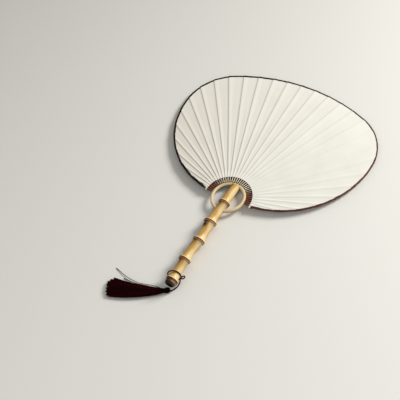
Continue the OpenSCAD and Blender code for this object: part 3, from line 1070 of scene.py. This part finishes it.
# The skin's rows are this far apart, and finer this near to a joint
ROW_STEP = 0.9
FINE_STEP = 0.22
FINE_REACH = 2.2
# Further off than any joint
FAR = 99


def drift(y):
    """How far the handle's centre wanders aside as it grows from joint to joint."""
    for (a, p), (b, q) in zip(DRIFT, DRIFT[1:]):
        if y >= b:
            return mix(p, q, smoothstep((y - a) / (b - a)))
    return 0


def knuckle_y(k):
    return -FIRST_KNUCKLE - KNUCKLE_GAP * k + CREST_SHIFTS[k]


def handle_radius(y):
    """The turned outline: it flares above each crest and steps in below it."""
    base = HANDLE_D / 2
    crest = KNUCKLE_D / 2
    half = KNUCKLE_W / 2
    radius = base
    for k in range(KNUCKLES):
        s = y - knuckle_y(k)
        if s >= half:
            flare = LAST_FLARE_LEN if k == KNUCKLES - 1 else FLARE_LEN
            radius = max(radius, base + (crest - base) * math.exp(-(s - half) / flare))
        elif s > GROOVE_AT + GROOVE_W:
            radius = max(radius, crest)
        elif s > GROOVE_AT - GROOVE_W:
            radius = max(radius, crest - GROOVE_DEEP * (1 - ((s - GROOVE_AT) / GROOVE_W) ** 2))
        elif s > RING_END:
            share = (GROOVE_AT - GROOVE_W - s) / (GROOVE_AT - GROOVE_W - RING_END)
            radius = max(radius, mix(crest - 0.15, base + RING_FOOT, share ** 3))
        elif s > RING_FADE_END:
            radius = max(radius, base + RING_FOOT * math.exp((s - RING_END) / RING_FADE))
    if y > NOSE_TIP - NOSE_ROUND:
        radius -= NOSE_ROUND * (1 - math.sqrt(max(0, 1 - ((y - NOSE_TIP) / NOSE_ROUND + 1) ** 2)))
    if y < LAST_KNUCKLE_Y + RING_END:
        s = (LAST_KNUCKLE_Y + RING_END - y) / (TAIL_LEN + RING_END)
        radius = mix(base + 0.9, END_D / 2 + 0.15, s) + 0.7 * math.sin(math.pi * s)
    return radius


def handle_rings():
    """Radius, Y and share of dark pith of each of the skin's rows, from the blade's end down."""
    stations = {round(END_Y + 0.12, 3), round(END_Y + 0.4, 3), NOSE_TIP, NOSE_TIP - 0.1, NOSE_TIP - 0.3}
    y = NOSE_TIP - 0.7
    while y > END_Y + 1:
        stations.add(round(y, 3))
        near = min(abs(y - knuckle_y(k)) for k in range(KNUCKLES))
        y -= FINE_STEP if near < FINE_REACH else ROW_STEP
    rings = [(handle_radius(y), y, 0) for y in sorted(stations, reverse=True)]
    return rings + [(r, END_Y + sink, 1 if n else RIM_PITH) for n, (r, sink) in enumerate(END_RINGS)]


def handle_point(radius, y, a, k, on_end):
    """A point of the skin at an angle round the handle, by its nearest joint k."""
    r = radius
    if not on_end:
        r *= 1 + 0.012 * math.sin(2 * a + y / 19) + 0.006 * math.sin(5 * a - y / 7)
    bulge_at, bulge = CREST_BULGES[k]
    swell = bulge * max(0, math.cos(a - math.radians(bulge_at)))
    swell += LIT_BULGE * max(0, math.cos(a - LIT_BULGE_ANGLE))
    nearness = math.exp(-((y - knuckle_y(k) + 1) / CREST_SPAN) ** 2)
    r += swell * nearness * (y > END_Y + 3)
    by_eye = math.exp(-((y - EYE_Y - BULGE_UP) / BULGE_LEN) ** 2)
    r += EYE_BULGE * by_eye * max(0, math.cos(a - BULGE_ANGLE)) ** 2
    x = drift(y) + r * math.cos(a)
    p = (x, y + CREST_SLANTS[k] * r * math.cos(a) * nearness, r * math.sin(a))
    return lay(tail(p) if y < TAIL_JOINT_Y else p)


def handle_marks(y, a, k, pith):
    """How strongly each finish shows at a place of the handle, as the material's marks are named."""
    joints = [knuckle_y(n) for n in range(KNUCKLES)]
    below = min((joint - y for joint in joints if joint - y > GROOVE_AT), default=FAR)
    above = -below if below < 0 else min((y - joint for joint in joints if y > joint), default=FAR)
    lit = math.cos(a - LIT_ANGLE)
    edge = 0.35 * math.sin(3 * a + 2 * k) + 0.25 * math.sin(7 * a + k)
    # Painted shade: the stains darken on the side away from the light
    shaded = mix(0.4, 1, smoothstep(0.55 - 0.8 * lit))
    stain_and_shade = 0.0
    if below > -RING_END:
        stain_and_shade = RING_STAIN_AND_SHADE * math.exp(-(below + RING_END) / STAIN_AND_SHADE_FADE) * (1 + 0.3 * edge) * shaded
    # Painted shade darkens the upper end, which faces the lamp
    stain_and_shade = max(stain_and_shade, NOSE_PAINTED_SHADE * smoothstep((y - NOSE_FROM + 2) / 3) * shaded)
    # Below the last joint: dark brown all round, and darker on the side away from the light as painted shade
    if y < LAST_KNUCKLE_Y + GROOVE_AT:
        stain_and_shade = mix(0.6, 1, smoothstep(0.9 - 0.8 * lit))
    groove = abs(-below - GROOVE_AT) / (1.2 * GROOVE_W + 0.12 * edge)
    eye = 1.1 * math.exp(-((y - EYE_Y) / EYE_LEN) ** 2 - ((a - EYE_ANGLE) / EYE_SPREAD) ** 2)
    dark_end = 0.9 * smoothstep((END_Y + DARK_END_LEN - y) / 2)
    return {
        "joint_shade": stain_and_shade,
        "ring": 0.75 * (0 < below < -RING_END + 0.1),
        "lip": 0.8 * math.exp(-((above - 0.3) / 1.5) ** 2),
        "scar": min(1.0, max(1.2 - groove ** 4, 0.4 - abs(below + RING_END) / 1.2, 0.0)),
        "pith": min(1.0, max(float(pith), eye, dark_end)),
        # Painted shade on the side away from the light, in streaks
        "painted_side_shade": 0.8 * smoothstep(-lit * 1.3 + 0.2 + 0.3 * math.sin(y / 6 + 2 * a)),
        # Painted highlight: pale patches on the side in the light
        "painted_highlight": 0.6 * smoothstep((math.cos(a - HIGHLIGHT_ANGLE) - 0.72 + 0.1 * math.sin(y / 5)) / 0.25),
    }


def cut_away(obj, low, high):
    """Cuts a block away across the handle; low and high are each two Y places and the height they are at."""
    corners = [(x, y, z) for (y0, y1, z) in (low, high) for y in (y0, y1) for x in (-HANDLE_D, HANDLE_D)]
    faces = [(0, 2, 3, 1), (4, 5, 7, 6), (0, 1, 5, 4), (2, 6, 7, 3), (0, 4, 6, 2), (1, 3, 7, 5)]
    mesh = bpy.data.meshes.new("cutter")
    mesh.from_pydata([tuple(lay(p)) for p in corners], [], faces)
    cutter = bpy.data.objects.new("cutter", mesh)
    bpy.context.scene.collection.objects.link(cutter)
    cut = obj.modifiers.new("cut", "BOOLEAN")
    cut.operation = "DIFFERENCE"
    cut.solver = "EXACT"
    cut.object = cutter
    bpy.context.view_layer.update()
    shaped = bpy.data.meshes.new_from_object(obj.evaluated_get(bpy.context.evaluated_depsgraph_get()))
    obj.modifiers.clear()
    obj.data = shaped
    bpy.data.objects.remove(cutter)


def make_handle(material):
    rings = handle_rings()
    points = []
    marks = []
    for radius, y, pith in rings:
        k = min(range(KNUCKLES), key=lambda n: abs(y - knuckle_y(n)))
        for i in range(HANDLE_SIDES):
            a = 2 * math.pi * i / HANDLE_SIDES
            points.append(handle_point(radius, y, a, k, pith > 0))
            marks.append(handle_marks(y, a, k, pith))
    faces = [face[::-1] for face in ring_faces(len(rings), HANDLE_SIDES)]
    obj = new_object("grip", (points, faces), "fan", ("handle",), material, sharp=40)
    for name in marks[0]:
        add_values(obj, name, [mark[name] for mark in marks])
    # The ribs' feet stand in front of a slot, and the front slants down to them
    past = TOP_LEN + 5
    cut_away(obj, (SLOT_Y, past, -SLOT_H / 2), (SLOT_Y, past, SLOT_H / 2))
    steepness = (NOSE_TIP - NOSE_FROM) / (HANDLE_D / 2)
    cut_away(obj, (NOSE_TIP, past, 0), (NOSE_TIP - HANDLE_D * steepness, past, HANDLE_D))


# Stage, in metres: a pale floor with painted shade, one soft lamp high on the right and a pale sky
KEY_TOWARDS = Vector((0.505, 0.670, 0.545)).normalized()
KEY_AWAY = 1.9
KEY_SIZE = 0.7
KEY_POWER = 35
KEY_COLOUR = (1, 0.985, 0.965)
SKY_COLOUR = (1, 0.99, 0.97, 1)
SKY_STRENGTH = 0.42
FLOOR_HALF = 6
# Painted shade: the floor darkens along Y, and along X by this share of that, as light falling off from the
# lamp
FLOOR_SHADE_SLANT = -0.487


def floor_material():
    tree, shader, material = new_material("floor")
    place = place_in(tree)
    parts = add(tree, "SeparateXYZ", {"Vector": place})
    painted_falloff = maths(tree, "MULTIPLY_ADD", parts.outputs["X"], FLOOR_SHADE_SLANT, parts.outputs["Y"])
    base = mixed(tree, ranged(tree, painted_falloff, -0.5, 0.6), "#f8f7f1", "#d4d3cc")
    patch = ranged(tree, noise_in(tree, place, 3.0), 0.3, 0.7, 0, 0.1)
    mottled = mixed(tree, patch, base, "#e8e6df")
    fill(tree, shader, {"Base Color": mottled, "Roughness": 0.9, "Specular IOR Level": 0.1})
    return material


def make_floor():
    mesh = bpy.data.meshes.new("floor")
    corners = [(x * FLOOR_HALF, y * FLOOR_HALF, 0) for x, y in ((-1, -1), (1, -1), (1, 1), (-1, 1))]
    mesh.from_pydata(corners, [], [(0, 1, 2, 3)])
    mesh.materials.append(floor_material())
    floor = bpy.data.objects.new("floor", mesh)
    bpy.context.scene.collection.objects.link(floor)


def make_lights():
    lamp = bpy.data.lights.new("key", "AREA")
    lamp.shape = "DISK"
    lamp.size = KEY_SIZE
    lamp.energy = KEY_POWER
    lamp.color = KEY_COLOUR
    key = bpy.data.objects.new("key", lamp)
    key.location = KEY_TOWARDS * KEY_AWAY
    key.rotation_euler = KEY_TOWARDS.to_track_quat("Z", "Y").to_euler()
    bpy.context.scene.collection.objects.link(key)
    world = bpy.data.worlds.new("sky")
    world.use_nodes = True
    sky = world.node_tree.nodes["Background"]
    sky.inputs["Color"].default_value = SKY_COLOUR
    sky.inputs["Strength"].default_value = SKY_STRENGTH
    bpy.context.scene.world = world
    bpy.context.scene.view_settings.view_transform = "Standard"


def dress_frame():
    """The carried-over pieces, whose shape is right, get their finish here."""
    finishes = {"hoop": hoop_material(), "binding_wire": wire_material()}
    ribs = rib_material()
    for name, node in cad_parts.items():
        finish = ribs if name.startswith("rib_") else finishes.get(name)
        if finish:
            node.data.materials.clear()
            node.data.materials.append(finish)


make_camera()
cord_finish = thread_material("cord_thread", "#140103", "#45050c", "#45050c", 330.0)
tassel_finish = thread_material("tassel_thread", "#0f0203", "#240507", "#430a11", 500.0)
cord, cord_line = make_hanging_cord(cord_finish)
knot = make_cord_knot(cord_finish)
bow = make_bow(cord_finish)
swivel = make_swivel(cord_finish)
make_head(tassel_finish)
make_binding(tassel_finish)
make_skirt(tassel_finish)
make_stray("stray_thread_1", "stray_strand_1", STRAND_ROUTE_1, tassel_finish)
make_stray("stray_thread_2", "stray_strand_2", STRAND_ROUTE_2, tassel_finish)
paper_finish = paper_material()
for leaf_name, leaf_node, leaf_facing in (("front_leaf", "front_paper", 1), ("back_leaf", "back_paper", -1)):
    leaf = make_leaf(leaf_name, leaf_node, leaf_facing, paper_finish)
make_edging(tape_material())
make_handle(handle_material())
dress_frame()
make_floor()
make_lights()
